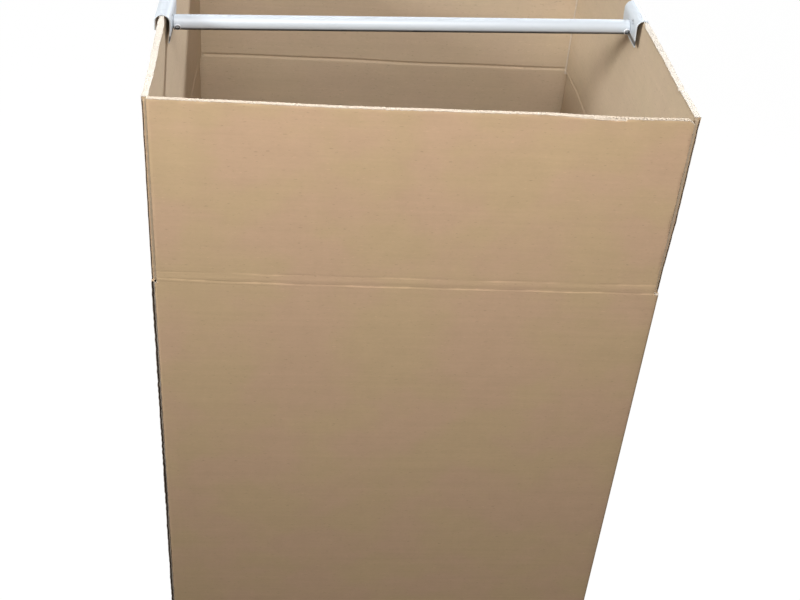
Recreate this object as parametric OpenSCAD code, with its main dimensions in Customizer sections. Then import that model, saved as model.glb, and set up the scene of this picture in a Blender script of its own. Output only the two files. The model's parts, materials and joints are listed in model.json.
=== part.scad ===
// Wardrobe moving carton of corrugated board, standing open, with a steel
// hanging rail hooked over its two side flaps. Millimetres, +Z up, the origin
// on the floor under the middle, the front face towards -Y.

/* [Carton] */
// Outside width, along the rail
carton_w = 510; // [420:5:700]
// Outside depth, front to back
carton_d = 530; // [480:5:700]
// Height of the walls, floor to the top crease
wall_h = 1200; // [600:10:1500]
// Length of the top flaps above the crease
top_flap_l = 194; // [120:2:220]
// Thickness of the board
board_t = 5; // [3:0.5:7]
// Outside radius of a folded edge
fold_r = 3; // [1:0.5:4]
// Width of the slot between two flaps
slot_w = 6; // [5:0.5:12]
// How far a slot is cut past the crease
slot_over = 5.5; // [5.3:0.1:9]

/* [Score lines] */
// Distance between the two lines pressed in the outer liner
score_spread = 9; // [7:0.5:14]
// Width of a pressed line
score_line_w = 2; // [1:0.5:3]
// Depth of a pressed line
score_line_d = 0.4; // [0.2:0.1:0.8]
// Width of the groove pressed inside the fold of a side flap
score_groove_w = 10; // [6:0.5:12]
// Depth of that groove
score_groove_d = 1.8; // [1:0.2:2.4]
// Radius of the groove pressed inside an upright folded corner
corner_groove_r = 1.2; // [0.5:0.1:2]
// Clearance between a flap and its wall on the fold line
hinge_gap = 0.3; // [0.2:0.1:0.6]

/* [Glued lap] */
// Width of the lap glued inside the left wall
lap_w = 40; // [30:5:60]
// Distance from the lap's ends to the creases
lap_inset = 12; // [11:1:30]
// Height over which the lap's ends slope
lap_slope = 10; // [4:1:20]
// Set-back of the left wall's cut edge at the glued corner
cut_edge_inset = 1; // [0.5:0.5:3]

/* [Bottom] */
// Gap along the middle seam of the bottom flaps
seam_gap = 1; // [0.5:0.5:4]
// Width of the closing tape
tape_w = 48; // [36:2:75]
// Thickness of the tape
tape_t = 0.2; // [0.1:0.1:0.4]
// Height of the tape's ends on the side walls
tape_end_h = 70; // [40:5:120]

/* [Rail] */
// Outside diameter of the tube
tube_d = 16; // [12:1:22]
// Wall of the tube
tube_wall = 1.2; // [0.8:0.1:2]
// Depth of the tube's axis below the top of the flaps
rail_drop = 18; // [16:1:30]
// Place of the left bracket, from the front face
left_bracket_at = 216; // [200:2:300]
// Place of the right bracket, from the front face
right_bracket_at = 257; // [200:2:300]

/* [Brackets] */
// Sheet thickness of a bracket
plate_t = 1.5; // [1:0.1:2]
// Inside width of the channel over the flap
channel_gap = 16; // [12:0.5:20]
// Length of a bracket along the flap
bracket_len = 50; // [40:2:90]
// Reach of the inner leg below the top of the flap
inner_leg = 30; // [26:1:45]
// Reach of the outer leg below the top of the flap
outer_leg = 16; // [12:1:25]
// Radius of the legs' lower corners
leg_corner_r = 2; // [1:0.5:5]
// Clearance between the arch and the board's top edge
seat_gap = 0.1; // [0.05:0.05:0.3]
// Length of the spigot inside the tube
spigot_len = 16; // [13:1:30]
// Clearance between the spigot and the tube
spigot_gap = 0.15; // [0.1:0.05:0.3]
// Clearance between the tube's end and the bracket
end_gap = 0.1; // [0.05:0.05:0.5]
// Diameter of the jig hole above the tube
jig_hole_d = 5; // [2:0.5:5]
// Wall between the jig hole and the tube
jig_hole_wall = 0.8; // [0.2:0.1:2]
// Distance of the jig hole in front of the tube's axis
jig_hole_ahead = 13; // [0:1:16]

/* [Rivets] */
// Diameter of a rivet's head
rivet_head_d = 6; // [5:0.5:6.5]
// Height of a rivet's head
rivet_head_h = 1.3; // [0.8:0.1:2]
// Diameter of a rivet's shank
rivet_d = 4; // [3.4:0.2:4.4]
// Hole through a rivet
rivet_bore_d = 3; // [1:0.2:3]
// Depth of a rivet inside the spigot
rivet_reach = 4; // [2:0.5:5]
// Clearance round a rivet
rivet_gap = 0.1; // [0.05:0.05:0.2]
// Distance from the bracket to the rivet
rivet_inset = 3.5; // [3.5:0.5:9]
// Turn of the rivet below the level of the axis
rivet_turn = 30; // [0:5:80]

/* [Wear] */
// Middle of the sag in the front flap's top edge
sag_x = 190; // [150:5:190]
// Length of the sag
sag_len = 100; // [60:5:110]
// Depth of the sag
sag_d = 2.5; // [1:0.5:4]
// Radius of the front flap's crushed corner
crushed_r = 9; // [4:1:14]
// Place of the nick in the right flap's top edge, from the front face
nick_at = 66; // [40:2:120]
// Radius of the nick
nick_r = 5; // [3:0.5:8]
// Depth of the nick
nick_d = 2; // [1:0.5:2.5]

/* [Hidden] */
kraft = [0.72, 0.60, 0.45];
painted = [0.93, 0.93, 0.94];
tape_brown = [0.66, 0.50, 0.32];
eps = 0.01;

half_w = carton_w / 2;
half_d = carton_d / 2;
crease_z = wall_h;
top_z = wall_h + top_flap_l;
// The fold lies in the middle of the board, so a slot takes this from a flap's end
flap_inset = board_t / 2 + slot_w / 2;
flap_half_w = half_w - flap_inset;
flap_half_d = half_d - flap_inset;
inner_half_w = half_w - board_t;
inner_half_d = half_d - board_t;

// Channel over the flap: its arch rests on the two top corners of the board
arch_r = channel_gap / 2;
channel_x = half_w - board_t / 2;
arch_z = top_z - sqrt(pow(arch_r, 2) - pow(board_t / 2, 2)) + seat_gap;
plate_x = channel_x - arch_r - plate_t;
rail_z = top_z - rail_drop;
tube_r = tube_d / 2;
left_y = left_bracket_at - half_d;
right_y = right_bracket_at - half_d;
rail_y = (left_y + right_y) / 2;
rail_skew = atan2(right_y - left_y, 2 * plate_x);
rail_half = plate_x / cos(rail_skew);

// Lays a section drawn in Y and Z along X, over the middle of the part
module along_x(length) {
    rotate([90, 0, 90]) translate([0, 0, -length / 2]) linear_extrude(length) children();
}

// Lays a section drawn in X and Z along Y, over the middle of the part
module along_y(length) {
    rotate([90, 0, 0]) translate([0, 0, -length / 2]) linear_extrude(length) children();
}

// Both sides of the part, left and right
module mirrored_x() {
    children();
    mirror([1, 0, 0]) children();
}

// Both ends of the part, front and back
module mirrored_y() {
    children();
    mirror([0, 1, 0]) children();
}

// Outer quarter round of a fold whose outside corner lies at the origin
module fold_corner() {
    difference() {
        translate([-1, -1]) square(fold_r + 1);
        translate([fold_r, fold_r]) circle(fold_r, $fn = 48);
    }
}

// Section of a bottom fold: a wall that rises and a flap that runs inwards
module fold_section(rise, run) {
    difference() {
        union() {
            square([board_t, rise]);
            square([run, board_t]);
        }
        fold_corner();
    }
}

// Shallow V that a scoring rule leaves, across a face that lies at x = 0
module score_v(width, depth) {
    polygon([[-1, -width / 2 - width / (2 * depth)], [depth, 0], [-1, width / 2 + width / (2 * depth)]]);
}

// Plan of the four walls: three folded corners, and a lapped one at the front left
module walls_plan() {
    difference() {
        translate([-half_w, -half_d]) square([carton_w, carton_d]);
        translate([-inner_half_w, -inner_half_d]) square([2 * inner_half_w, 2 * inner_half_d]);
        translate([half_w, -half_d]) rotate(90) fold_corner();
        translate([half_w, half_d]) rotate(180) fold_corner();
        translate([-half_w, half_d]) rotate(270) fold_corner();
        translate([-inner_half_w, -half_d]) fold_corner();
        translate([-half_w - 1, -half_d - 1]) square([board_t + 1, cut_edge_inset + 1]);
        for (corner = [[1, -1], [1, 1], [-1, 1]])
            translate([corner[0] * inner_half_w, corner[1] * inner_half_d]) circle(corner_groove_r, $fn = 24);
    }
}

// Lap of the front wall, folded back and glued to the inside of the left wall
module glued_lap() {
    low = 2 * board_t + lap_inset - 10;
    high = crease_z - lap_inset;
    y_fold = -inner_half_d - eps;
    y_end = -half_d + lap_w;
    translate([-inner_half_w - eps, 0, 0]) rotate([90, 0, 90]) linear_extrude(board_t + eps)
        polygon([[y_fold, low], [y_end, low + lap_slope], [y_end, high - lap_slope], [y_fold, high]]);
}

// Side wall from the slot's foot up, with its upright flap and scored fold
module side_flap() {
    low = crease_z - slot_over - eps;
    along_y(2 * flap_half_d) difference() {
        translate([inner_half_w, low]) square([board_t, top_z - low]);
        translate([inner_half_w, crease_z]) score_v(score_groove_w, score_groove_d);
        for (side = [-1, 1])
            translate([half_w, crease_z + side * score_spread / 2]) mirror([1, 0])
                score_v(score_line_w, score_line_d);
    }
}

// Head of the front or back wall, mitred so that its flap folds in flat
module mitred_head() {
    low = crease_z - slot_over - eps;
    high = crease_z - hinge_gap / 2;
    along_x(2 * flap_half_w)
        polygon([[-half_d, low], [-inner_half_d, low], [-inner_half_d, high - board_t], [-half_d, high]]);
}

// Line pressed in the outer face of the front wall, below the fold
module wall_score_cut() {
    along_x(carton_w + 2)
        translate([-half_d, crease_z - score_spread / 2]) score_v(score_line_w, score_line_d);
}

// Bottom flaps: the side pair lies inside, the front and back pair below it
module bottom_flaps() {
    rise = slot_over + eps;
    mirrored_y() along_x(2 * flap_half_w) translate([-half_d, 0]) fold_section(rise, half_d - seam_gap / 2);
    mirrored_x() along_y(2 * flap_half_d) translate([-half_w, board_t]) fold_section(rise, half_w - seam_gap / 2);
}

// Walls between the slots at the floor and the slots at the top
module walls() {
    translate([0, 0, slot_over]) linear_extrude(crease_z - 2 * slot_over) walls_plan();
}

module carton() {
    color(kraft) difference() {
        union() {
            walls();
            bottom_flaps();
            mirrored_x() side_flap();
            mirrored_y() mitred_head();
            glued_lap();
        }
        mirrored_y() wall_score_cut();
        mirrored_x() along_y(2 * flap_half_d) translate([-half_w, board_t]) fold_corner();
        translate([half_w - board_t / 2, nick_at - half_d, top_z + nick_r - nick_d]) rotate([0, 90, 0])
            cylinder(h = board_t + 2, r = nick_r, center = true, $fn = 48);
        cube([carton_w + 2, tape_w + 0.2, 2 * tape_t], center = true);
    }
}

// Flap above the fold of the front wall, mitred to close against the wall's head
module hinged_flap() {
    low = crease_z + hinge_gap / 2;
    along_x(2 * flap_half_w) difference() {
        polygon([[-half_d, low], [-inner_half_d, low + board_t], [-inner_half_d, top_z], [-half_d, top_z]]);
        translate([-half_d, crease_z + score_spread / 2]) score_v(score_line_w, score_line_d);
    }
}

module front_flap() {
    sag_r = (pow(sag_len / 2, 2) + pow(sag_d, 2)) / (2 * sag_d);
    color(kraft) difference() {
        hinged_flap();
        translate([sag_x, -half_d + board_t / 2, top_z - sag_d + sag_r]) rotate([90, 0, 0])
            cylinder(h = board_t + 2, r = sag_r, center = true, $fn = 360);
        translate([flap_half_w - crushed_r, -half_d - 1, top_z - crushed_r]) difference() {
            cube([crushed_r + 1, board_t + 2, crushed_r + 1]);
            rotate([-90, 0, 0]) translate([0, 0, -1]) cylinder(h = board_t + 4, r = crushed_r, $fn = 48);
        }
    }
}

module back_flap() {
    color(kraft) mirror([0, 1, 0]) hinged_flap();
}

// Tape under the middle seam, with its ends turned up on the side walls
module bottom_tape() {
    side_x = half_w + tape_t;
    bridge_x = flap_half_w;
    bend = tape_t * tan(22.5);
    right_edge = [[bridge_x + bend, 0], [side_x, side_x - bridge_x - bend], [side_x, tape_end_h],
                  [half_w, tape_end_h], [half_w, half_w - bridge_x + tape_t], [bridge_x, tape_t]];
    left_edge = [for (i = [len(right_edge) - 1 : -1 : 0]) [-right_edge[i][0], right_edge[i][1]]];
    color(tape_brown) along_y(tape_w) polygon(concat(right_edge, left_edge));
}

// Frame of the rail: the X axis runs along the tube, the origin lies at its middle
module on_rail() {
    translate([0, rail_y, rail_z]) rotate([0, 0, rail_skew]) children();
}

// Place of a rivet on the rail: its axis is Z, its head outwards, on side 1 or -1
module at_rivet(side) {
    on_rail() translate([side * (rail_half - rivet_inset), 0, 0]) rotate([90 + rivet_turn, 0, 0]) children();
}

module hanging_tube() {
    bore_r = tube_r - tube_wall;
    color(painted) difference() {
        on_rail() rotate([0, 90, 0]) difference() {
            cylinder(h = 2 * rail_half + tube_d, r = tube_r, center = true, $fn = 64);
            cylinder(h = 2 * rail_half + tube_d + 2, r = bore_r, center = true, $fn = 64);
        }
        mirrored_x() translate([plate_x - end_gap, rail_y - carton_d / 2, rail_z - tube_d])
            cube([tube_d * 2, carton_d, 2 * tube_d]);
        for (side = [-1, 1])
            at_rivet(side) cylinder(h = tube_d, d = rivet_d + 2 * rivet_gap, $fn = 32);
    }
}

// Profile of the channel across the right flap: a long leg inside, an arch, a short leg outside
module channel_profile() {
    outer_r = arch_r + plate_t;
    translate([channel_x, arch_z]) difference() {
        circle(outer_r, $fn = 96);
        circle(arch_r, $fn = 96);
        translate([-outer_r - 1, -outer_r - 1]) square([2 * outer_r + 2, outer_r + 1]);
    }
    translate([plate_x, top_z - inner_leg]) square([plate_t, arch_z - top_z + inner_leg]);
    translate([channel_x + arch_r, top_z - outer_leg]) square([plate_t, arch_z - top_z + outer_leg]);
}

// Cuts that round the two lower corners of a leg whose room face is at x
module corner_cuts(x, foot) {
    half = bracket_len / 2;
    translate([x - 1, 0, 0]) rotate([90, 0, 90]) linear_extrude(plate_t + 2) {
        for (side = [0, 1]) mirror([side, 0]) difference() {
            translate([-half - 1, foot - 1]) square(leg_corner_r + 1);
            translate([leg_corner_r - half, foot + leg_corner_r]) circle(leg_corner_r, $fn = 32);
        }
    }
}

// Sheet bent over the right flap
module channel() {
    difference() {
        along_y(bracket_len) channel_profile();
        corner_cuts(plate_x, top_z - inner_leg);
        corner_cuts(channel_x + arch_r, top_z - outer_leg);
    }
}

// Bracket on side 1 (right) or -1 (left): the channel, and a spigot that holds the tube
module bracket(side) {
    y = side > 0 ? right_y : left_y;
    spigot_r = tube_r - tube_wall - spigot_gap;
    hole_z = rail_z + tube_r + jig_hole_wall + jig_hole_d / 2;
    color(painted) difference() {
        union() {
            translate([0, y, 0]) mirror([side > 0 ? 0 : 1, 0, 0]) channel();
            on_rail() translate([side * (rail_half + plate_t / 2 - spigot_len / 2), 0, 0]) rotate([0, 90, 0])
                cylinder(h = spigot_len, r = spigot_r, center = true, $fn = 64);
        }
        at_rivet(side) translate([0, 0, tube_r - tube_wall - rivet_reach - 1])
            cylinder(h = tube_d, d = rivet_d + 2 * rivet_gap, $fn = 32);
        translate([side * (plate_x + plate_t / 2), y - jig_hole_ahead, hole_z]) rotate([0, 90, 0])
            cylinder(h = plate_t + 2, d = jig_hole_d, center = true, $fn = 32);
    }
}

module left_bracket() {
    bracket(-1);
}

module right_bracket() {
    bracket(1);
}

// Hollow rivet: a domed rim turned round a bore, on a shank
module rivet(side) {
    shank_z = tube_r - tube_wall - rivet_reach;
    head_z = tube_r + rivet_gap / 2;
    rim_r = rivet_head_d / 2;
    bore_r = rivet_bore_d / 2;
    color(painted) at_rivet(side) rotate_extrude($fn = 48) difference() {
        union() {
            translate([0, shank_z]) square([rivet_d / 2, head_z - shank_z + eps]);
            translate([0, head_z]) square([rim_r - rivet_head_h, rivet_head_h]);
            translate([rim_r - rivet_head_h, head_z]) intersection() {
                circle(rivet_head_h, $fn = 32);
                square(rivet_head_h);
            }
        }
        translate([-1, shank_z - 1]) square([bore_r + 1, rivet_reach + tube_d]);
    }
}

module left_rivet() {
    rivet(-1);
}

module right_rivet() {
    rivet(1);
}

carton();
front_flap();
back_flap();
bottom_tape();
hanging_tube();
left_bracket();
right_bracket();
left_rivet();
right_rivet();
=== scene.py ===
"""Wardrobe moving carton of corrugated board, open, with a steel hanging rail over its mouth."""
import json

import bpy
import numpy as np
from mathutils import Matrix, Vector


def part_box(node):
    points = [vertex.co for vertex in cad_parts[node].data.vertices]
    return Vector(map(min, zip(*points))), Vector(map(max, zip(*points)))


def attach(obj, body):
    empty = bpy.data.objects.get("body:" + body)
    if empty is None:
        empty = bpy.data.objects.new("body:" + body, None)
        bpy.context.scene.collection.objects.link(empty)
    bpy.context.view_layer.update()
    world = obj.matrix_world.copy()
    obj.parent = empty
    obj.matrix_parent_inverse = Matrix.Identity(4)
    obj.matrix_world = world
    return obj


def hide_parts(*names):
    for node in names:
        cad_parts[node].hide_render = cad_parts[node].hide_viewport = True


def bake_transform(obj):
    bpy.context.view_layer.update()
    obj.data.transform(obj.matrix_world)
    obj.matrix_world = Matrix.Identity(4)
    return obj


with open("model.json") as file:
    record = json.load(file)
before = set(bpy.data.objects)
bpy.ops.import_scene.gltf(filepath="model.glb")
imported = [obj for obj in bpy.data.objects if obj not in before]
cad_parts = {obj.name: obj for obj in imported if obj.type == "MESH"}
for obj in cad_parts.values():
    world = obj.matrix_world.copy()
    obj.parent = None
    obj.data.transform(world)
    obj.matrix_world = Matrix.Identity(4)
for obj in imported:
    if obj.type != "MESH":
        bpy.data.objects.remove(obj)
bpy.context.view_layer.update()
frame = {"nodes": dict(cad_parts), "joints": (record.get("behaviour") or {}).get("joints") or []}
mm = 0.001


def new_object(name, data):
    """An object in the scene that shows data: a mesh, a lamp or a camera."""
    made = bpy.data.objects.new(name, data)
    bpy.context.scene.collection.objects.link(made)
    return made


class Wire:
    """An output of a material's nodes; arithmetic on it adds Math nodes."""

    def __init__(self, tree, socket=None):
        self.tree, self.socket = tree, socket

    def node(self, kind, inputs=None, out=0, **settings):
        """Adds a node: first its settings, then the value or link of each socket."""
        made = self.tree.nodes.new("ShaderNode" + kind)
        for name, value in settings.items():
            setattr(made, name, value)
        for name, value in (inputs or {}).items():
            if isinstance(value, Wire):
                self.tree.links.new(value.socket, made.inputs[name])
            else:
                made.inputs[name].default_value = value
        return Wire(self.tree, made.outputs[out])

    def colour(self, value):
        """A colour that holds everywhere."""
        made = self.node("RGB")
        made.socket.default_value = value
        return made

    def math(self, operation, *others):
        return self.node("Math", dict(enumerate((self, *others))), operation=operation)

    def __add__(self, other):
        return self.math("ADD", other)

    def __mul__(self, other):
        return self.math("MULTIPLY", other)

    def __sub__(self, other):
        return self.math("SUBTRACT", other)

    def __rsub__(self, other):
        return self.node("Math", {0: other, 1: self}, operation="SUBTRACT")

    __radd__ = __add__
    __rmul__ = __mul__

    def step(self, low, high):
        """Smooth step from 0 at low to 1 at high; low may be the larger."""
        limits = {"Value": self, "From Min": low, "From Max": high}
        return self.node("MapRange", limits, interpolation_type="SMOOTHSTEP")

    def stretch(self, x, y, z):
        return self.node("VectorMath", {0: self, 1: (x, y, z)}, operation="MULTIPLY")

    def scaled(self, tone):
        return self.node("VectorMath", {0: self, "Scale": tone}, operation="SCALE")

    def noise(self, scale, detail=2.0, rough=0.5):
        return self.node("TexNoise", {"Vector": self, "Scale": scale, "Detail": detail, "Roughness": rough})

    def mix(self, other, factor):
        """Colour from self, at factor 0, to other, at factor 1."""
        return self.node("Mix", {0: factor, 6: self, 7: other}, out=2, data_type="RGBA")


def new_material(name):
    """An empty node material and the wire that its nodes start from."""
    material = bpy.data.materials.new(name)
    material.use_nodes = True
    material.node_tree.nodes.clear()
    return material, Wire(material.node_tree)


def finish_material(tree, shader):
    output = tree.nodes.new("ShaderNodeOutputMaterial")
    tree.links.new(shader.socket, output.inputs["Surface"])


# Camera. It stands a metre in front of the carton with its lens above the mouth, and looks
# down into it, a few degrees out of square and out of level, as a camera held by hand.
camera_at = (-0.1111, -1.2253, 1.8727)
camera_yaw, camera_down, camera_tilt = np.radians([-6.10, 35.62, 4.96])
ahead = np.array([-np.sin(camera_yaw), np.cos(camera_yaw), 0])
aside = np.array([np.cos(camera_yaw), np.sin(camera_yaw), 0])
upright = np.array([0, 0, 1])
sight = ahead * np.cos(camera_down) - upright * np.sin(camera_down)
head = upright * np.cos(camera_down) + ahead * np.sin(camera_down)
view_right = aside * np.cos(camera_tilt) + head * np.sin(camera_tilt)
view_up = head * np.cos(camera_tilt) - aside * np.sin(camera_tilt)
camera = new_object("camera", bpy.data.cameras.new("camera"))
camera.data.sensor_width = 36
camera.data.lens = 52.95
camera.matrix_world = Matrix(np.column_stack([view_right, view_up, -sight]).tolist()).to_4x4()
camera.location = camera_at
bpy.context.scene.camera = camera


# Room. A pale floor in a white room, and four lamps: one high in front of the carton, a small
# one behind its right rear corner that lights the left side flap, one on the left that lights
# the right side flap and throws the tube's shadow on it, and a weak one over the mouth.
def seen_directly(start):
    """1 for rays from the camera, or by way of a mirror or glass, and 0 for light on a surface."""
    kinds = ("Is Camera Ray", "Is Glossy Ray", "Is Transmission Ray")
    rays = [start.node("LightPath", out=kind) for kind in kinds]
    return rays[0].math("MAXIMUM", rays[1]).math("MAXIMUM", rays[2])


def lamp(name, place, target, size, power, colour, spread=180):
    """A square lamp that shines from place to target, in a beam of spread degrees."""
    made = new_object(name, bpy.data.lights.new(name, "AREA"))
    made.data.size, made.data.energy, made.data.color = size, power, colour
    made.data.spread = np.radians(spread)
    made.location = place
    made.rotation_euler = (Vector(target) - Vector(place)).to_track_quat("-Z", "Y").to_euler()


def pale_floor():
    """Pale matt floor that shows white, with a trace of the carton's shadow."""
    material, start = new_material("pale_floor")
    painted = start.node("BsdfDiffuse", {"Color": (0.48, 0.475, 0.47, 1)})
    white = start.node("Emission", {"Color": (1, 1, 1, 1), "Strength": 1.10})
    shown_white = seen_directly(start) * 0.90
    finish_material(start.tree, start.node("MixShader", {0: shown_white, 1: painted, 2: white}))
    return material


floor_half = 8.0
floor_mesh = bpy.data.meshes.new("floor")
floor_corners = [(x * floor_half, y * floor_half, 0) for x, y in ((-1, -1), (1, -1), (1, 1), (-1, 1))]
floor_mesh.from_pydata(floor_corners, [], [(0, 1, 2, 3)])
floor_mesh.materials.append(pale_floor())
floor = new_object("floor", floor_mesh)

lamp("front_lamp", (0.09, -0.97, 2.27), (0.0, -0.1, 1.1), 0.50, 13.7, (1.0, 0.97, 0.94))
lamp("rear_lamp", (1.20, 1.50, 2.285), (-0.2, 0.0, 1.3), 0.25, 42, (0.93, 0.965, 1.0))
lamp("left_lamp", (-1.90, -0.90, 2.03), (0.25, 0.05, 1.36), 0.34, 3.8, (0.98, 1.0, 0.97), 60)
lamp("mouth_lamp", (-0.40, -0.40, 2.40), (0.0, 0.27, 1.2), 0.60, 4.1, (1.0, 0.99, 0.98))
world = bpy.data.worlds.new("white_room")
world.use_nodes = True
world.node_tree.nodes.clear()
sky = Wire(world.node_tree)
room_light = sky.node("Background", {"Color": (1.0, 0.965, 0.94, 1), "Strength": 0.105})
white_wall = sky.node("Background", {"Color": (1, 1, 1, 1), "Strength": 1.0})
world_output = world.node_tree.nodes.new("ShaderNodeOutputWorld")
seen_world = sky.node("MixShader", {0: seen_directly(sky), 1: room_light, 2: white_wall})
world.node_tree.links.new(seen_world.socket, world_output.inputs["Surface"])
bpy.context.scene.world = world
bpy.context.scene.view_settings.view_transform = "Standard"


# Walls. Single-wall board: two kraft liners glued to a fluted sheet, with the flutes upright.
# The blank is scored, folded round four corners and glued to a lap inside the front left one,
# where the left wall's raw end, pressed thin, shows as one line painted dark as shade.
half_w, half_d, top_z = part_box("carton")[1]
crease_z = frame["joints"][0]["pos_m"][2]
flap_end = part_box("front_flap")[1].x
slot = half_w - flap_end
side_flap_end = half_d - slot
board_t = 5 * mm
glued_t = 2.8 * mm
fold_r = 3 * mm
slot_foot = crease_z - slot
bottom_seam = 8 * mm
flute_pitch = 7.0 * mm
liner_t = 0.55 * mm
flute_t = 0.42 * mm
hollow_depth = 2.2 * mm
rim = 3 * mm
lap_w, lap_inset, lap_slope = 35 * mm, 12 * mm, 10 * mm
stretch_right, stretch_left = 1.0065, 1.0025
depths = np.array([0, 0.3, 0.6, 1.0, 1.6, 2.2, 2.8, 3.4, 4.0, 4.4, 4.7, 5.0]) * mm
kraft_warm = (0.560, 0.383, 0.250, 1)
kraft_pale = (0.548, 0.394, 0.236, 1)
kraft_inside = (0.522, 0.436, 0.330, 1)
cut_cream = (0.60, 0.515, 0.42, 1)
# painted light: a paler, whiter cream for the side flaps' rims
cut_painted_light = (0.65, 0.60, 0.535, 1)
# painted shade: the near-black shown down in the hollows of cut edges and on the line of a shut end
painted_hollow_shade = (0.060, 0.040, 0.027, 1)
painted_shade_cut = -1.6 * mm


def smooth(low, high, x):
    """Smooth step from 0 at low to 1 at high: 3t squared less 2t cubed."""
    t = np.clip((x - low) / (high - low), 0, 1)
    return t * t * (3 - 2 * t)


def waver(x, pitch, seed):
    """Irregular wave, mostly between -1 and 1: a third of the sum of six sines, whose lengths are
    spread round the pitch."""
    draw = np.random.default_rng(seed)
    lengths = pitch * draw.uniform(0.55, 1.8, 6)
    turns = np.multiply.outer(np.asarray(x, float), 2 * np.pi / lengths) + draw.uniform(0, 2 * np.pi, 6)
    return np.sin(turns).sum(-1) / 3


def slab(across, along, through):
    """Outside of the grid across x along x through, as a closed shell: its points and quads."""
    shape = (len(across), len(along), len(through))
    index = np.arange(np.prod(shape)).reshape(shape)
    quads = []
    sides = ((0, 0, False), (0, -1, True), (1, 0, True), (1, -1, False), (2, 0, False), (2, -1, True))
    for axis, end, turned in sides:
        side = np.take(index, end, axis=axis)
        corners = [side[:-1, :-1], side[1:, :-1], side[1:, 1:], side[:-1, 1:]]
        quads.append(np.stack(corners[::-1] if turned else corners, -1).reshape(-1, 4))
    used, faces = np.unique(np.concatenate(quads), return_inverse=True)
    i, j, k = np.unravel_index(used, shape)
    return np.stack([across[i], along[j], through[k]], 1), faces.reshape(-1, 4)


def flute_solid(across, depth):
    """1 in the board's paper and 0 in its hollows, at a cut across the flutes: the fluted
    sheet's middle line is a sine between the liners, and paper reaches half a thickness from it."""
    swing = (board_t - liner_t - flute_t) / 2
    turn = 2 * np.pi * across / flute_pitch
    lean = swing * 2 * np.pi / flute_pitch * np.cos(turn)
    to_flute = np.abs(depth - board_t / 2 - swing * np.sin(turn)) / np.sqrt(1 + lean ** 2)
    to_face = np.minimum(depth, board_t - depth)
    sheet = smooth(flute_t * 1.7, flute_t * 0.6, to_flute)
    return np.maximum(sheet, smooth(liner_t * 1.9, liner_t * 0.9, to_face))


def slit_solid(along, depth, seed):
    """1 in the paper and 0 in the hollow, at a cut along the flutes: two liners, and the edge
    of the fluted sheet that wanders slowly by the inner one."""
    middle = 0.56 * board_t + 0.4 * mm * waver(along, 160 * mm, seed)
    to_face = np.minimum(depth, board_t - depth)
    sheet = smooth(1.4 * mm, 0.6 * mm, np.abs(depth - middle))
    return np.maximum(sheet, smooth(liner_t * 2.0, liner_t * 0.8, to_face))


def outwards(points, faces):
    """The quads of a closed shell, turned to face outwards: their signed volume is made positive."""
    a, b, c, d = (points[faces[:, i]] for i in range(4))
    volume = (np.cross(a, b) * c).sum() + (np.cross(a, c) * d).sum()
    return faces if volume > 0 else faces[:, ::-1]


def add_attribute(mesh, name, values):
    """Stores a number, or a vector, for each point of the mesh."""
    kind, field = ("FLOAT_VECTOR", "vector") if values.ndim == 2 else ("FLOAT", "value")
    made = mesh.attributes.new(name, kind, "POINT")
    made.data.foreach_set(field, values.astype(np.float32).ravel())


def joined(parts):
    """The points and the outward faces of several closed shells, each as one array."""
    starts = np.cumsum([0] + [len(part[0]) for part in parts])
    faces = [outwards(part[0], part[1]) + start for part, start in zip(parts, starts)]
    return np.concatenate([part[0] for part in parts]), np.concatenate(faces)


def smooth_faces(mesh, degrees):
    """Shades the mesh smooth, but sharp at edges that turn by more than the angle."""
    mesh.polygons.foreach_set("use_smooth", np.ones(len(mesh.polygons), bool))
    mesh.set_sharp_from_angle(angle=np.radians(degrees))


def board_mesh(name, parts):
    """One object from (points, faces, blank, cut) parts, with a fifth entry, rubbed, in a flap's:
    blank holds each point's place on the flat sheet and its depth, cut its distance from the
    nearest cut edge, and rubbed is 1 where the liner is worn pale along a score line. The carton
    is out of square by the same small stretch to the left and right everywhere."""
    points, faces = joined(parts)
    points[:, 0] *= np.where(points[:, 0] > 0, stretch_right, stretch_left)
    mesh = bpy.data.meshes.new(name)
    mesh.from_pydata(points.tolist(), [], faces.tolist())
    rubbed = [part[4] if len(part) > 4 else np.zeros(len(part[0])) for part in parts]
    add_attribute(mesh, "blank", np.concatenate([part[2] for part in parts]))
    add_attribute(mesh, "cut", np.concatenate([part[3] for part in parts]))
    add_attribute(mesh, "rubbed", np.concatenate(rubbed))
    smooth_faces(mesh, 38)
    return new_object(name, mesh)


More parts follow.
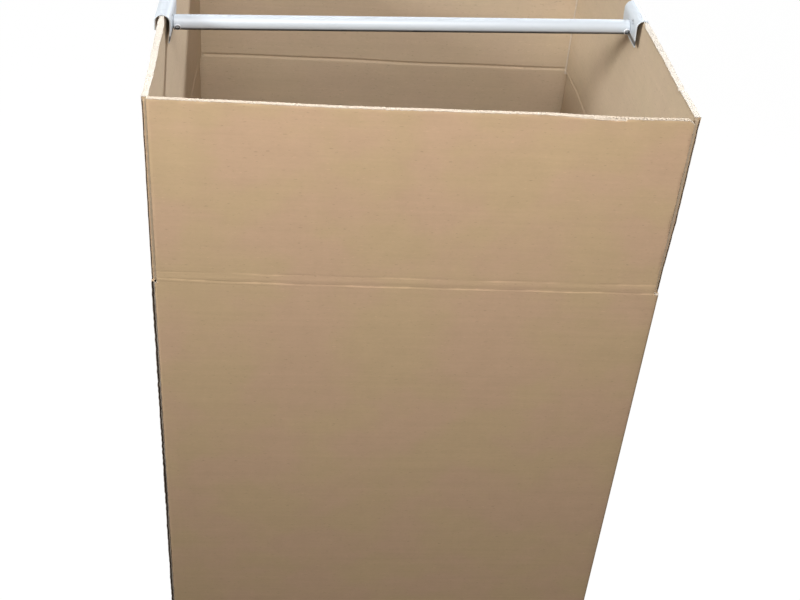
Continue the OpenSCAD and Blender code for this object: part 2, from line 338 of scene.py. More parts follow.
def kraft_board(name, cut_colour):
    """Uncoated kraft board. The liner has warm and pale clouds, fibre streaks that run across the
    flutes, sparse flecks and a faint washboard over each flute; it is paler where rubbed, and
    greyer inside the carton. Cut edges are cream, with painted shade, near black, down in their
    hollows, where cut is below 0."""
    material, start = new_material(name)
    blank = start.node("Attribute", attribute_name="blank", out="Vector")
    cut = start.node("Attribute", attribute_name="cut", out="Fac")
    rubbed = start.node("Attribute", attribute_name="rubbed", out="Fac")
    depth = blank.node("SeparateXYZ", {0: blank}, out="Z")
    clouds = blank.stretch(1, 1.3, 40).noise(10, 3)
    mottle = blank.stretch(1, 1, 40).noise(48, 3)
    streaks = blank.stretch(5, 190, 90).noise(1, 4, 0.6)
    grain = blank.stretch(220, 900, 90).noise(1, 2)
    fibres = blank.stretch(1, 2.6, 40).noise(150, 3, 0.6)
    flecks = blank.stretch(190, 620, 90).noise(1, 1).step(0.68, 0.75)
    pale_flecks = blank.stretch(150, 700, 130).noise(1, 1).step(0.70, 0.78)
    turn = blank.node("SeparateXYZ", {0: blank}) * (2 * np.pi / flute_pitch)
    washboard = turn.math("SINE")
    tone = 0.825 + 0.11 * mottle + 0.12 * streaks + 0.06 * grain + 0.10 * fibres
    tone = tone - 0.17 * flecks + 0.12 * pale_flecks + 0.34 * rubbed
    liner = start.colour(kraft_warm)
    liner = liner.mix(kraft_pale, clouds.step(0.38, 0.62))
    liner = liner.mix(kraft_inside, depth.step(2 * mm, 3 * mm) * 0.7).scaled(tone + 0.002 * washboard)
    fray = blank.stretch(420, 420, 420).noise(1, 3)
    raw = (cut + fray * (1.9 * mm)).step(2.0 * mm, 1.0 * mm)
    cream = start.colour(cut_colour)
    # painted shade: where cut is below 0, down in a cut edge's hollows, the cream turns near black
    hollow_shade_mask = cut.step(-0.3 * mm, painted_shade_cut)
    cream = cream.scaled(0.80 + 0.36 * blank.stretch(300, 300, 700).noise(1, 3, 0.7))
    colour = liner.mix(cream.mix(painted_hollow_shade, 0.95 * hollow_shade_mask), raw)
    relief = 0.35 * grain + 0.25 * streaks + 0.35 * mottle + 0.02 * washboard + raw * fray
    bump = start.node("Bump", {"Strength": 0.55, "Distance": 0.35 * mm, "Height": relief})
    rough = 0.80 + 0.14 * grain
    paper = {"Base Color": colour, "Roughness": rough, "Normal": bump, "Specular IOR Level": 0.25}
    finish_material(start.tree, start.node("BsdfPrincipled", paper))
    return material


def wall_path():
    """Plan of the glued blank, as outer and inner points and places on the flat sheet. It starts
    at the lap inside the front left corner, and its outer side is a round of radius fold_r at each
    corner, while the inner side draws in to a small groove."""
    groove = 1.0 * mm
    turns = [(-half_w + glued_t, -half_d), (half_w, -half_d), (half_w, half_d), (-half_w, half_d)]
    outer, inner = [(turns[0][0], -half_d + board_t)], [(turns[0][0] + board_t, -half_d + board_t)]
    heading = np.array([0.0, -1.0])
    for corner in turns:
        left_turn = np.array([-heading[1], heading[0]])
        for t in np.linspace(0, 1, 7):
            sweep = t * np.pi / 2
            arc = -heading * (1 - np.sin(sweep)) + left_turn * (1 - np.cos(sweep))
            outer.append(np.array(corner) + fold_r * arc)
            nook = np.array(corner) + board_t * (left_turn - heading)
            before = 0 if corner == turns[0] else 1 - t
            swell = 0.9 * np.sin(np.pi * t) * (heading - left_turn)
            inner.append(nook + groove * (t * left_turn - before * heading + swell))
        heading = left_turn
        if corner != turns[-1]:
            reach = 2 * (half_w if abs(heading[0]) > 0.5 else half_d) - 2 * fold_r
            reach -= glued_t if corner == turns[0] else 0
        else:
            reach = 2 * half_d - fold_r - rim - 1 * mm
        shares = np.linspace(0, 1, 46)[1:]
        for t in shares[:-1] if corner != turns[-1] else shares:
            outer.append(np.array(corner) + heading * (fold_r + t * reach))
            inner.append(outer[-1] + np.array([-heading[1], heading[0]]) * board_t)
    outer, inner = np.array(outer), np.array(inner)
    steps = np.linalg.norm(np.diff(outer, axis=0), axis=1)
    return outer, inner, np.concatenate([[0], np.cumsum(steps)])


def wall_bulge(blank, z):
    """Slight bulges of a wall, outwards where positive, still at the creases and corners."""
    calm = smooth(0, 0.16, z) * smooth(slot_foot, slot_foot - 0.16, z)
    return 0.7 * mm * calm * waver(blank, 0.35, 4) * waver(z, 0.42, 5)


def walls():
    """The four walls: the plan carried up from the bottom folds to the feet of the top slots."""
    outer, inner, blank = wall_path()
    heights = np.concatenate([np.linspace(bottom_seam, slot_foot - rim, 44), [slot_foot - mm, slot_foot]])
    lattice, faces = slab(np.arange(len(outer)), heights, depths)
    i = lattice[:, 0].astype(int)
    z, share = lattice[:, 1], lattice[:, 2:] / board_t
    plan = outer[i] * (1 - share) + inner[i] * share
    out = outer[i] - inner[i]
    out /= np.linalg.norm(out, axis=1)[:, None]
    straight = np.abs(out).max(1) > 0.999
    to_corner = np.where(np.abs(out[:, 0]) > 0.5, half_d - np.abs(plan[:, 1]), half_w - np.abs(plan[:, 0]))
    calm = smooth(0, 0.12, to_corner) * straight
    plan += out * (wall_bulge(blank[i], z) * calm)[:, None]
    points = np.column_stack([plan, z])
    sheet = np.column_stack([blank[i], z, lattice[:, 2]])
    cut = np.hypot(slot_foot - z, np.maximum(to_corner - slot, 0))
    return points, faces, sheet, cut


def raw_end():
    """The left wall's cut end at the glued corner, pressed thin there: the last few millimetres of
    the board, whose face is sunk between the liners and whose liners are frayed. The whole end
    face is pushed below 0 in cut, so that it is painted in shade."""
    _, _, blank = wall_path()
    across = np.array([0, 1.4, 2.4, 3.0]) * mm
    heights = np.linspace(bottom_seam, slot_foot, 680)
    lattice, faces = slab(across, heights, depths)
    reach, z, depth = lattice.T
    at_end = reach > 2.9 * mm
    sunk = 2.6 * mm * (1 - slit_solid(z, depth, 6)) * at_end
    frayed = 0.35 * mm * waver(z, 9 * mm, 7) + 0.30 * mm * waver(z, 55 * mm, 8)
    frayed = np.where(depth < board_t / 2, frayed, 0.4 * mm * waver(z, 14 * mm, 9))
    y = -half_d + 1 * mm + rim - reach + sunk - frayed * (reach / rim) ** 2
    swell = 0.22 * mm * waver(z, 12 * mm, 10) + 0.2 * mm * waver(z, 70 * mm, 11)
    x = -half_w + depth - swell * (reach / rim) * (depth < board_t / 2)
    sheet = np.column_stack([blank[-1] + reach, z, depth])
    # painted shade: the end face's cut is lowered by 0.9 mm, so the whole face shows the dark of a hollow
    return np.column_stack([x, y, z]), faces, sheet, rim - reach - sunk - 0.9 * mm * at_end


def glued_lap():
    """The lap: 35 mm of board inside the left wall, with sloped ends and a cut long edge."""
    across = np.concatenate([np.linspace(0, lap_w - rim, 8), lap_w - np.array([1.5, 0.5, 0]) * mm])
    lattice, faces = slab(across, np.linspace(0, 1, 300), depths)
    out, share, depth = lattice.T
    low = lap_inset + lap_slope * out / lap_w
    z = low + share * (crease_z - lap_inset - lap_slope * out / lap_w - low)
    sunk = 1.5 * mm * (1 - slit_solid(z, depth, 12)) * (out > lap_w - 0.1 * mm)
    x = -half_w + board_t + depth
    y = -half_d + board_t + out - sunk + 0.4 * mm * waver(z, 30 * mm, 13) * (out / lap_w) ** 4
    cut = np.minimum(lap_w - out, np.minimum(share, 1 - share) * 1.1)
    sheet = np.column_stack([-out, z, board_t - depth])
    return np.column_stack([x, y, z]), faces, sheet, cut - sunk


def bottom_panel(side, half_len, reach, level):
    """A bottom flap folded in from the wall at side: its outer face runs down the wall, round the
    fold and inwards at level, and its inner face keeps a board's thickness from it."""
    sweep = np.linspace(0, 1, 7)[:, None]
    groove = 0.8 * mm
    turn = sweep * np.pi / 2
    round_out = np.hstack([fold_r * (1 - np.cos(turn)), level + fold_r * (1 - np.sin(turn))])
    round_in = [board_t, level + board_t] + groove * np.hstack([sweep, 1 - sweep])
    runs = np.concatenate([np.linspace(fold_r, reach - rim, 30)[1:], reach - np.array([1.5, 0.6, 0]) * mm])
    wall_out = [(0, bottom_seam)] if level + fold_r < bottom_seam - mm / 2 else np.empty((0, 2))
    wall_in = [(board_t, bottom_seam)] if len(wall_out) else np.empty((0, 2))
    out_path = np.vstack([wall_out, round_out, [(run, level) for run in runs]])
    in_path = np.vstack([wall_in, round_in, [(run, level + board_t) for run in runs]])
    middle = np.linspace(-half_len, half_len, 60)[1:-1]
    ends = np.array([0, 0.7, 2]) * mm
    across = np.concatenate([ends - half_len, middle, half_len - ends[::-1]])
    lattice, faces = slab(across, np.arange(len(out_path)), depths)
    u, step, depth = lattice.T
    share = (depth / board_t)[:, None]
    i = step.astype(int)
    bent = out_path[i] * (1 - share) + in_path[i] * share
    steps = np.linalg.norm(np.diff(out_path, axis=0), axis=1)
    run = np.concatenate([[0], np.cumsum(steps)])[i]
    along_cut = np.minimum(half_len - u, half_len + u)
    at_seam = step > len(out_path) - 1.5
    sunk = 1.6 * mm * (1 - flute_solid(u, depth)) * at_seam
    inwards = bent[:, 0] - sunk + 0.15 * mm * waver(u, 25 * mm, 14) * at_seam
    x, y = (u, -half_d + inwards) if side in ("front", "back") else (-half_w + inwards, -u)
    if side in ("back", "right"):
        x, y = -x, -y
    cut = np.minimum(along_cut, run.max() - run)
    apart = {"front": 0, "right": 3, "back": 6, "left": 9}[side]
    sheet = np.column_stack([u + apart, -run, depth])
    return np.column_stack([x, y, bent[:, 1]]), faces, sheet, cut - sunk


kraft = kraft_board("kraft_board", cut_cream)
seam_gap = 1 * mm
bottom = [bottom_panel(side, flap_end, half_d - seam_gap / 2, 0) for side in ("front", "back")]
bottom += [bottom_panel(side, side_flap_end, half_w - seam_gap / 2, board_t) for side in ("left", "right")]
carton_walls = board_mesh("carton_walls", [walls(), raw_end(), glued_lap(), *bottom])
carton_walls.data.materials.append(kraft)
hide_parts("carton")
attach(carton_walls, "carton")


# Top flaps. Each is the wall's own sheet above the crease, between slots: a raw top edge that
# shows the flutes, raw ends along the slots, two lines pressed outside the fold and one broad
# groove inside it. The rail holds the side ones up.
fold_axis = {"front": (0, -half_d, crease_z), "back": (0, half_d, crease_z)}
walls_around = {"front": 0.0, "right": 2 * half_w, "back": 2 * (half_w + half_d),
                "left": 4 * half_w + 2 * half_d}
rail_at = {"left": 49 * mm, "right": -8 * mm}
groove_half, groove_depth = 2.6 * mm, 1.4 * mm
score_half, score_depth = 1.0 * mm, 0.20 * mm
cream_strip_w = 3.2 * mm
on_cut = 0.01 * mm


def bump_of(x, middle, length):
    """Raised cosine: 1 at the middle, 0 and level at half a length either way."""
    return 0.5 + 0.5 * np.cos(np.clip((x - middle) / length, -0.5, 0.5) * 2 * np.pi)


def front_wear(u, z, depth, near_top):
    """The front flap's wear: its top edge sags right of the middle, the outer liner is torn away
    along that sag, and the right corner is crushed round."""
    sag = 1.2 * mm - 0.8 * mm * smooth(-60 * mm, -230 * mm, u) + 1.0 * mm * bump_of(u, 185 * mm, 150 * mm)
    corner = 6.0 * mm * smooth(flap_end - 7 * mm, flap_end + 5 * mm, u)
    torn = 2.0 * mm * smooth(104 * mm, 178 * mm, u) * smooth(187 * mm, 185 * mm, u)
    outer = smooth(0.9 * mm, 0.5 * mm, depth)
    return (sag + corner) * near_top + torn * outer * smooth(top_z - rim, top_z - 0.5 * mm, z)


def right_wear(u, z, depth, near_top):
    """The right flap's wear: a nick in its top edge near the front, and a soft wave."""
    nick = 2.2 * mm * bump_of(u, -199 * mm, 9 * mm) * smooth(top_z - rim, top_z, z)
    return nick + 0.5 * mm * waver(u, 0.2, 21) * near_top


def left_wear(u, z, depth, near_top):
    """The left flap's wear: a soft wave along its top edge."""
    return 0.7 * mm * waver(u, 0.12, 22) * near_top


def back_wear(u, z, depth, near_top):
    """The back flap's wear: a longer soft wave along its top edge."""
    return 0.6 * mm * waver(u, 0.3, 23) * near_top


def stance(side, u, z):
    """How far a flap stands in from its wall's plane: the rail spreads the side flaps apart, their
    back ends curl in from the crease up, and the right one bulges out above the crease."""
    above_fold = smooth(slot_foot - 1 * mm, slot_foot + 6 * mm, z)
    high = smooth(crease_z + 20 * mm, top_z, z)
    if side == "left":
        curl = 2.6 * mm * smooth(-170 * mm, -side_flap_end, u) * above_fold
        return curl - 2.4 * mm * bump_of(u, rail_at["left"], 0.36) * high
    if side == "right":
        curl = 2.2 * mm * smooth(170 * mm, side_flap_end, u) * above_fold
        bulge = 1.6 * mm * smooth(crease_z + 5 * mm, crease_z + 90 * mm, z)
        bulge = (bulge - 0.4 * mm * smooth(crease_z + 90 * mm, top_z, z)) * smooth(240 * mm, 120 * mm, u)
        return curl - bulge - 0.8 * mm * bump_of(u, rail_at["right"], 0.3) * high
    return 0


def score_lines(side, half_len, u, seed):
    """Heights above the crease of the two lines pressed outside a fold, the lower and the upper.
    The front flap's lower one climbs towards its left end."""
    climb = 4.2 * mm * np.exp(-(u + half_len) / (90 * mm)) * (side == "front")
    lower = -3.7 * mm + climb + 0.3 * mm * waver(u, 60 * mm, seed)
    upper = 7.2 * mm - 4.0 * u * mm + 0.4 * mm * waver(u, 90 * mm, seed + 1)
    return lower, upper


def fold_relief(side, half_len, u, above, seed):
    """Depth pressed into a fold: outside, the two score lines less a low ridge between them and
    one under them, and inside, one groove that fades out at both ends."""
    lower, upper = score_lines(side, half_len, u, seed)
    lines = np.maximum(1 - np.abs(above - lower) / score_half, 0)
    faint = 0.55 + 0.45 * waver(u, 120 * mm, seed + 2)
    lines += np.maximum(1 - np.abs(above - upper) / (1.3 * score_half), 0) * faint
    ridge = 0.16 * mm * bump_of(above, 1.6 * mm, 9 * mm)
    ridge += 0.10 * mm * bump_of(above, lower - 2.4 * mm, 3.5 * mm)
    middle = 1.5 * mm + 0.8 * mm * waver(u, 0.25, seed + 3)
    groove = groove_depth * np.maximum(1 - np.abs(above - middle) / groove_half, 0) ** 0.8
    return score_depth * lines - ridge, groove * smooth(1 * mm, 6 * mm, half_len - np.abs(u))


def rubbed_liner(side, half_len, u, above, seed):
    """How pale the outer liner is rubbed along the score lines, in long broken streaks."""
    lower, upper = score_lines(side, half_len, u, seed)
    rubbed = bump_of(above, lower, 4.0 * mm) * smooth(-0.55, 0.1, waver(u, 110 * mm, seed + 13))
    rubbed += 0.9 * bump_of(above, upper, 3.6 * mm) * smooth(-0.1, 0.5, waver(u, 90 * mm, seed + 14))
    return rubbed * (0.7 + 0.3 * waver(u, 16 * mm, seed + 15))


def flap_lean(side, u, z, outside, seed):
    """How far a flap's points stand in from its wall's plane: a bow, a ripple along the top edge
    and the stance. A side flap's two liners are splayed apart at the top, clear of the bracket."""
    to_top = top_z - z
    high = smooth(crease_z + 20 * mm, top_z, z)
    bowed = high * (0.8 * mm * waver(u, 0.42, seed + 5) + 0.3 * mm * waver(u, 0.09, seed + 6) * high)
    ripple = 0.12 * mm * waver(u, 17 * mm, seed + 7) * smooth(12 * mm, 0, to_top)
    lean = bowed + ripple + stance(side, u, z)
    if side in rail_at:
        free = 1 - smooth(46 * mm, 30 * mm, np.abs(u - rail_at[side]))
        splay = 1.5 * mm * (1 - outside) * free
        splay -= 0.8 * mm * outside * free * bump_of(u, rail_at[side], 0.4)
        lean += splay * smooth(5 * mm, 0, to_top)
    return lean


def top_hollow(side, u, z, depth, seed):
    """How deep the top edge's face is sunk between the liners and the flutes. The edge is mostly
    crushed shut; the front flap's is open towards its right end."""
    openness = 0.10 + 0.06 * waver(u, 90 * mm, seed + 12)
    if side == "front":
        openness = 0.10 + 0.30 * smooth(150 * mm, 176 * mm, u)
    solid = flute_solid(u + walls_around[side], depth)
    return hollow_depth * openness * (1 - solid) * (top_z - z < on_cut)


def end_slit(side, half_len, u, z, depth, seed):
    """How deep an end's face is sunk between the liners; where the end is pressed shut, as the
    side flaps' front ones are; and the line of a shallow groove near the outer liner on a shut
    end, which is painted dark as shade."""
    on_end = half_len - np.abs(u) < on_cut
    slit = 2.4 * mm * (1 - slit_solid(z, depth, seed + 10)) * on_end * smooth(0, 5 * mm, top_z - z)
    shut = (u < 0) if side == "right" else (u > 0) & (side == "left")
    line = shut * bump_of(depth, 0.7 * mm, 1.8 * mm) * on_end * smooth(0, 6 * mm, top_z - z)
    return np.where(shut, 1.5 * mm * line, slit), shut, line


def flap_shape(side, half_len, lattice, wear, seed):
    """Places a flap's lattice of (across, height, depth), and gives each point's place on the
    blank, its distance from a cut and how far it is rubbed. The board is crushed thinner near a
    cut and frayed along it. The front flap's ends and the ends pressed shut show kraft, not a
    cut, but a shut end's line is painted dark as shade, and at the back flap's right end a strip
    of the inner face shows the cream of a cut edge."""
    u, z, depth = lattice.T
    above, to_end, to_top = z - crease_z, half_len - np.abs(u), top_z - z
    outside = 1 - depth / board_t
    pressed, groove = fold_relief(side, half_len, u, above, seed)
    crush = 0.10 + 0.06 * waver(u + z, 35 * mm, seed + 4)
    thin = (depth - board_t / 2) * crush * smooth(2.2 * mm, 0, np.minimum(to_end, to_top))
    shown = depth + outside * pressed - (1 - outside) * groove - thin
    shown = shown + flap_lean(side, u, z, outside, seed)

    near_top = smooth(top_z - 28 * mm, top_z - rim, z)
    ragged = 0.15 * mm * waver(u, 4 * mm, seed + 8) + 0.2 * mm * waver(u, 23 * mm, seed + 9) * outside
    hollow = top_hollow(side, u, z, depth, seed)
    drop = wear(u, z, depth, near_top) + ragged * smooth(top_z - rim, top_z, z) + hollow
    slit, shut, line = end_slit(side, half_len, u, z, depth, seed)
    pull = slit + 0.12 * mm * (1 + waver(z, 7 * mm, seed + 11)) * smooth(rim, 0, to_end)
    u_shown = u - np.sign(u) * pull
    crosswise = side in ("front", "back")
    x, y = (u_shown, -half_d + shown) if crosswise else (half_w - shown, u_shown)
    if side in ("back", "left"):
        x, y = -x, -y

    cut = np.minimum(to_end, to_top)
    covered = np.minimum(to_top, cut + (to_end < rim) * 3 * mm)
    cut = np.where(shut | (side == "front"), covered, cut) - hollow - slit
    # a strip of the inner half at the back flap's right end is shown in the cream of a cut edge
    cream_strip = (side == "back") & (u < -half_len + cream_strip_w) & (depth > board_t / 2)
    # painted shade: a shut end's line takes the cut value of a hollow, and with it the near-black
    cut = np.where(line > 0.3, painted_shade_cut, np.where(cream_strip, 0, cut))
    blank = u + walls_around[side] + (half_w if crosswise else half_d)
    rubbed = rubbed_liner(side, half_len, u, above, seed) * (depth < 0.2 * mm)
    return np.column_stack([x, y, z - drop]), np.column_stack([blank, z, depth]), cut, rubbed


def flap_board(name, side, half_len, wear, seed, board):
    """A flap as four closed slabs: the board, and a fine rim along its top and each end."""
    crease_rows = np.arange(slot_foot, crease_z + 12.5 * mm, 0.75 * mm)
    board_rows = np.concatenate([crease_rows, np.linspace(crease_z + 16 * mm, top_z - rim, 18)])
    near_end = half_len - rim - np.array([0, 1, 2, 3.5, 5, 8]) * mm
    middle = np.linspace(-near_end[-1], near_end[-1], 96)[1:-1]
    columns = np.concatenate([-near_end, middle, near_end[::-1]])
    top_columns = np.linspace(-half_len, half_len, 730)
    top_rows = top_z - np.array([rim, 1.8 * mm, 0.8 * mm, 0.3 * mm, 0])
    end_rows = np.concatenate([crease_rows, np.linspace(crease_z + 14 * mm, top_z - rim, 110)])
    end_columns = half_len - np.array([rim, 1.6 * mm, 0.5 * mm, 0])
    grids = [(columns, board_rows), (top_columns, top_rows)]
    grids += [(end_columns, end_rows), (-end_columns[::-1], end_rows)]
    parts = []
    for across, along in grids:
        lattice, faces = slab(across, along, depths)
        points, sheet, cut, rubbed = flap_shape(side, half_len, lattice, wear, seed)
        parts.append((points, faces, sheet, cut, rubbed))
    flap = board_mesh(name, parts)
    flap.data.materials.append(board)
    return flap


# painted light: the side flaps' cut edges get a paler cream than the others, for the stronger light on
# their rims
painted_light_board = kraft_board("kraft_board_painted_light_edge", cut_painted_light)
left_flap = flap_board("left_side_flap", "left", side_flap_end, left_wear, 30, painted_light_board)
right_flap = flap_board("right_side_flap", "right", side_flap_end, right_wear, 50, painted_light_board)
for flap in (left_flap, right_flap):
    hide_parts("carton")
    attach(flap, "carton")
front_flap = flap_board("front_top_flap", "front", flap_end, front_wear, 70, kraft)
back_flap = flap_board("back_top_flap", "back", flap_end, back_wear, 90, kraft)
for side, flap in (("front", front_flap), ("back", back_flap)):
    x, y, z = fold_axis[side]
    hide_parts(side + "_flap")
    z - board_t * 0.9
    z + board_t * 0.9
    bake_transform(flap)


# Bottom tape. Brown packing film pressed over the seam of the bottom flaps and up two walls:
# glossy, drawn along its length, with fine wrinkles.
def brown_film():
    material, start = new_material("brown_film")
    place = start.node("TexCoord", out="Object")
    drawn = place.stretch(6, 420, 420).noise(1, 3)
    wrinkle = place.stretch(60, 14, 60).noise(1, 3, 0.6)
    brown = start.colour((0.40, 0.245, 0.115, 1))
    colour = brown.scaled(0.86 + 0.16 * drawn + 0.12 * wrinkle)
    bump = start.node("Bump", {"Strength": 0.4, "Distance": 0.2 * mm, "Height": wrinkle + 0.2 * drawn})
    film = {"Base Color": colour, "Roughness": 0.20 + 0.14 * drawn, "Normal": bump}
    finish_material(start.tree, start.node("BsdfPrincipled", film))
    return material


frame["nodes"]["bottom_tape"].material_slots[0].material = brown_film()


# Rail. A thin-walled steel tube with a bracket at each end, powder-coated white. Each bracket is
# one strip of sheet bent over the side flap as an arch, with a long leg inside and a short one
# outside that spring in towards the board; a hollow rivet holds the tube on the bracket's stub.
tube_low, tube_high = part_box("hanging_tube")
tube_r = (tube_high.z - tube_low.z) / 2
tube_wall = 1.2 * mm
rail_z = (tube_high.z + tube_low.z) / 2
end_gap = 0.1 * mm
plate_x = tube_high.x + end_gap
plate_t = 1.5 * mm
bracket_y = {side: (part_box(side + "_bracket")[0].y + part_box(side + "_bracket")[1].y) / 2
             for side in ("left", "right")}
side_sign = {"left": -1, "right": 1}
front_reach, back_reach = 30 * mm, 29 * mm
spread = {"left": 3.9 * mm, "right": 3.2 * mm}
pinch = {"left": 0.0, "right": 2.4 * mm}
rail_y = (bracket_y["left"] + bracket_y["right"]) / 2
rail_skew = np.arctan2(bracket_y["right"] - bracket_y["left"], 2 * plate_x)
arch_r = 7.1 * mm
channel_x = plate_x + plate_t + arch_r
arch_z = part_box("right_bracket")[1].z - plate_t - arch_r
inner_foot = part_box("right_bracket")[0].z
outer_foot = top_z - 16 * mm
corner_r, edge_r = 2 * mm, 0.6 * mm
lean_in, lean_out = 2.2 * mm, -0.7 * mm
stub_len = 16 * mm
stub_r, stub_bore_r = tube_r - tube_wall - 0.15 * mm, tube_r - tube_wall - 1.4 * mm
rivet_inset = 3.5 * mm
rivet_turn = np.radians(17)
rivet_head_r, rivet_rim_h = 3.6 * mm, 1.3 * mm
rivet_bore_r, rivet_shank_r = 2.0 * mm, 2.25 * mm
rivet_hole_r = 2.3 * mm
jig_hole_r = 2.8 * mm
jig_hole_ahead = 13 * mm
jig_hole_z = rail_z + tube_r + 3.3 * mm


def loop(profile, count):
    """A closed profile of (radius, height) turned round its height: a shell of quads like a torus."""
    turn = np.linspace(0, 2 * np.pi, count, endpoint=False)
    index = np.arange(len(profile) * count).reshape(len(profile), count)
    next_row, next_turn = np.roll(index, -1, axis=0), np.roll(index, -1, axis=1)
    faces = np.stack([index, next_turn, np.roll(next_row, -1, axis=1), next_row], -1).reshape(-1, 4)
    radius, height = profile[:, 0, None], profile[:, 1, None]
    rings = np.stack(np.broadcast_arrays(radius * np.cos(turn), radius * np.sin(turn), height), -1)
    return rings.reshape(-1, 3), faces


def on_rail(along, aside_by, lift):
    """Points given along the tube, across it in the level plane, and above its axis."""
    cos, sin = np.cos(rail_skew), np.sin(rail_skew)
    x, y = along * cos - aside_by * sin, rail_y + along * sin + aside_by * cos
    return np.column_stack([x, y, rail_z + lift])


def at_rivet(side, points):
    """Points whose third axis is the rivet's, which looks out of the tube, forwards and down."""
    along = side_sign[side] * (plate_x / np.cos(rail_skew) + spread[side] - rivet_inset) + points[:, 0]
    aside_by = -np.cos(rivet_turn) * points[:, 2] + np.sin(rivet_turn) * points[:, 1]
    lift = -np.sin(rivet_turn) * points[:, 2] - np.cos(rivet_turn) * points[:, 1]
    return on_rail(along, aside_by, lift)


def steel_mesh(name, parts, node, material):
    """One smooth object from (points, faces) shells; it replaces a CAD node and rides the carton."""
    points, faces = joined(parts)
    mesh = bpy.data.meshes.new(name)
    mesh.from_pydata(points.tolist(), [], faces.tolist())
    mesh.materials.append(material)
    made = new_object(name, mesh)
    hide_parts(node)
    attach(made, "carton")
    return made


def drill(obj, points, faces):
    """Cuts a closed shell out of the object, and applies the cut."""
    cutter_mesh = bpy.data.meshes.new("drill")
    cutter_mesh.from_pydata(points.tolist(), [], faces)
    cutter = new_object("drill", cutter_mesh)
    cut = obj.modifiers.new("cut", "BOOLEAN")
    cut.operation, cut.solver, cut.object, cut.use_self = "DIFFERENCE", "EXACT", cutter, True
    bpy.context.view_layer.update()
    seen = obj.evaluated_get(bpy.context.evaluated_depsgraph_get())
    drilled = bpy.data.meshes.new_from_object(seen)
    obj.modifiers.clear()
    obj.data = drilled
    bpy.data.objects.remove(cutter)


def rod(radius, low, high, count=40):
    """A round rod along the third axis: its points, and its faces with two flat ends."""
    turn = np.linspace(0, 2 * np.pi, count, endpoint=False)
    ring = np.column_stack([radius * np.cos(turn), radius * np.sin(turn)])
    points = np.concatenate([np.column_stack([ring, np.full(count, z)]) for z in (low, high)])
    sides = [(i, (i + 1) % count, (i + 1) % count + count, i + count) for i in range(count)]
    return points, sides + [tuple(range(count))[::-1], tuple(range(count, 2 * count))]


def powder_coat(name, white, roughness, underside_shade):
    """White powder coat on steel: faint clouds, a fine orange peel and sparse grey smudges, with
    painted shade darkening a band from just under the rail's axis to the tube's bottom, and painted
    shade, near black and metallic, down in a rivet's bore."""
    material, start = new_material(name)
    place = start.node("TexCoord", out="Object")
    clouds = place.noise(22, 2)
    peel = place.noise(700, 1)
    smudges = place.stretch(45, 160, 160).noise(1, 3, 0.6).step(0.60, 0.76)
    paint = start.colour(white)
    height = place.node("SeparateXYZ", {0: place}, out="Z")
    # painted shade: down in a rivet's bore the coat turns near black and metallic
    bore = start.node("Attribute", attribute_name="bore", out="Fac")
    # painted shade: the coat is darkened in a band from just under the rail's axis down to the tube's
    # bottom
    underside = height.step(rail_z - 0.30 * tube_r, rail_z - 0.60 * tube_r)
    underside = underside * height.step(rail_z - 1.3 * tube_r, rail_z - 1.02 * tube_r)
    colour = paint.scaled((0.98 + 0.05 * clouds - 0.10 * smudges - underside_shade * underside) * (1 - 0.94 * bore))
    bump = start.node("Bump", {"Strength": 0.15, "Distance": 0.1 * mm, "Height": peel})
    gloss = roughness + 0.10 * clouds + 0.10 * smudges
    coat = {"Base Color": colour, "Metallic": bore, "Roughness": gloss, "Normal": bump}
    finish_material(start.tree, start.node("BsdfPrincipled", coat))
    return material


def tube_shell():
    """The tube: its outer and inner walls and two rounded ends, each end cut along its bracket."""
    shares = np.concatenate([[-1, -0.9992], np.linspace(-0.995, 0.995, 60), [0.9992, 1]])
    lip = np.where(np.abs(shares) > 0.9999, 0.35 * mm, 0)
    outer = np.column_stack([tube_r - lip, shares])
    inner = np.column_stack([tube_r - tube_wall + lip, shares])[::-1]
    rings, faces = loop(np.concatenate([outer, inner]), 96)
    level, lift, share = rings.T
    out_of_round = 0.0015 * waver(share, 0.5, 40)
    level, lift = level * (1 + out_of_round), lift * (1 - out_of_round)
    end_x = np.where(share > 0, plate_x + spread["right"], plate_x + spread["left"]) - end_gap
    along = (share * end_x + level * np.sin(rail_skew)) / np.cos(rail_skew)
    return on_rail(along, level, lift), faces


def leg_heights(foot, count):
    """Heights up a leg, from its foot to the arch, close together at the foot."""
    return np.concatenate([[0, 0.4, 1, 2], np.linspace(3, (arch_z - foot) / mm, count)]) * mm + foot


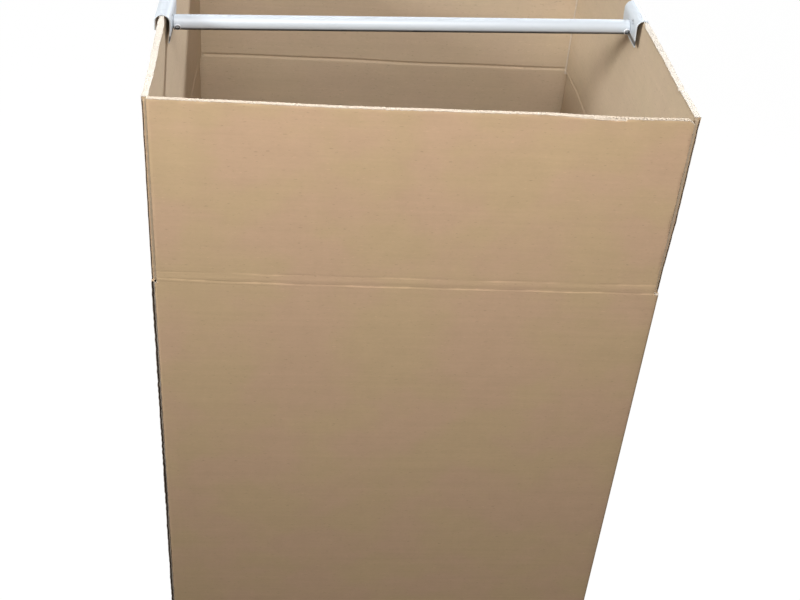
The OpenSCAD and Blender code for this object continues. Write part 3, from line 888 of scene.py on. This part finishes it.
def channel_shell(side):
    """The bent strip: an inner and an outer path in x and z, carried along y. Its edges are
    rounded, and its legs lean towards the board by the square of their depth below the arch."""
    leg_in, leg_out = leg_heights(inner_foot, 14), leg_heights(outer_foot, 8)[::-1]
    turn = np.linspace(np.pi, 0, 42)[1:-1]
    legs = [np.column_stack([np.full(len(z), at), z]) for at, z in ((-1, leg_in), (1, leg_out))]
    arch = np.column_stack([np.cos(turn), np.full(len(turn), arch_z)])
    path = np.concatenate([legs[0], arch, legs[1]])
    rise = np.concatenate([np.zeros(len(leg_in)), np.sin(turn), np.zeros(len(leg_out))])
    edge = np.concatenate([[-1, -0.994, -0.98], np.linspace(-0.95, 0.95, 24), [0.98, 0.994, 1]])
    lattice, faces = slab(np.arange(len(path)), edge, np.linspace(0, 1, 5))
    step, share, layer = lattice[:, 0].astype(int), lattice[:, 1], lattice[:, 2]
    foot = np.where(step < len(leg_in), inner_foot, outer_foot)
    to_foot = np.where(rise[step] > 0, 1.0, path[step, 1] - foot)
    narrow = corner_r - np.sqrt(np.maximum(corner_r ** 2 - np.maximum(corner_r - to_foot, 0) ** 2, 0))
    half = (front_reach + back_reach) / 2
    y = share * (half - narrow) + half - front_reach + bracket_y[side]
    to_edge = np.minimum((1 - np.abs(share)) * half, to_foot)
    full = np.sqrt(1 - 0.84 * np.clip(1 - to_edge / edge_r, 0, 1) ** 2)
    radius = arch_r + plate_t * (0.5 + (layer - 0.5) * full)
    down = np.maximum(arch_z - path[step, 1], 0)
    lean = np.where(path[step, 0] < 0, lean_in, lean_out) * (down / (arch_z - inner_foot)) ** 2
    x = channel_x + radius * path[step, 0] + lean - pinch[side] * np.maximum(path[step, 0], 0)
    z = path[step, 1] + radius * rise[step]
    return np.column_stack([side_sign[side] * (x + spread[side]), y, z]), faces


def stub_shell(side):
    """The stub that the tube's end sits on: a short sleeve from the plate inwards."""
    bevel = 0.4 * mm
    outer = [[stub_r, 0], [stub_r, stub_len - bevel], [stub_r - bevel, stub_len]]
    rings, faces = loop(np.array(outer + [[stub_bore_r, stub_len], [stub_bore_r, 0]]), 64)
    base = plate_x / np.cos(rail_skew) + spread[side] + plate_t / 2
    return on_rail(side_sign[side] * (base - rings[:, 2]), rings[:, 0], rings[:, 1]), faces


def rivet_profile():
    """A hollow rivet's section: a rolled rim round its bore, on a shank through tube and stub."""
    sweep = np.linspace(0, np.pi, 14)
    roll_r = (rivet_head_r - rivet_bore_r) / 2
    rim_at = rivet_bore_r + roll_r + roll_r * np.cos(sweep)
    rolled = np.column_stack([rim_at, tube_r - 0.25 * mm + rivet_rim_h * np.sin(sweep) ** 0.8])
    shank = [[rivet_bore_r, tube_r - 4 * mm], [rivet_shank_r, tube_r - 4 * mm]]
    shank += [[rivet_shank_r, tube_r - 0.4 * mm], [rivet_head_r, tube_r - 0.6 * mm]]
    return np.concatenate([rolled, np.array(shank)])


def rivet_shell(side):
    rings, faces = loop(rivet_profile(), 48)
    return at_rivet(side, rings), faces


def painted_bore_shade():
    """1 at the points of a rivet that lie down in its bore, and 0 elsewhere: where its shade is painted."""
    radius, height = np.repeat(rivet_profile(), 48, axis=0).T
    return smooth(2.95 * mm, 2.55 * mm, radius) * smooth(tube_r + 1.4 * mm, tube_r + 1.0 * mm, height)


# the last argument sets how strong the painted shade under the rail's axis is
white_coat = powder_coat("white_powder_coat", (0.55, 0.60, 0.66, 1), 0.34, 0.84)
rivet_coat = powder_coat("rivet_coat", (0.62, 0.64, 0.68, 1), 0.40, 0.25)
tube = steel_mesh("rail_tube", [tube_shell()], "hanging_tube", white_coat)
for side in ("left", "right"):
    shells = [channel_shell(side), stub_shell(side)]
    bracket = steel_mesh(side + "_channel", shells, side + "_bracket", white_coat)
    points, faces = rod(jig_hole_r, -6 * mm, 6 * mm)
    y, z, x = points.T
    x = x + side_sign[side] * (plate_x + plate_t / 2 + spread[side])
    drill(bracket, np.column_stack([x, y + bracket_y[side] - jig_hole_ahead, z + jig_hole_z]), faces)
    points, faces = rod(rivet_hole_r, tube_r - 5 * mm, tube_r + 3 * mm)
    drill(bracket, at_rivet(side, points), faces)
    drill(tube, at_rivet(side, points), faces)
    smooth_faces(bracket.data, 35)
    shells = [rivet_shell(side)]
    rivet = steel_mesh(side + "_hollow_rivet", shells, side + "_rivet", rivet_coat)
    smooth_faces(rivet.data, 50)
    # marks the points in the rivet's bore that get the painted shade
    add_attribute(rivet.data, "bore", painted_bore_shade())
smooth_faces(tube.data, 35)
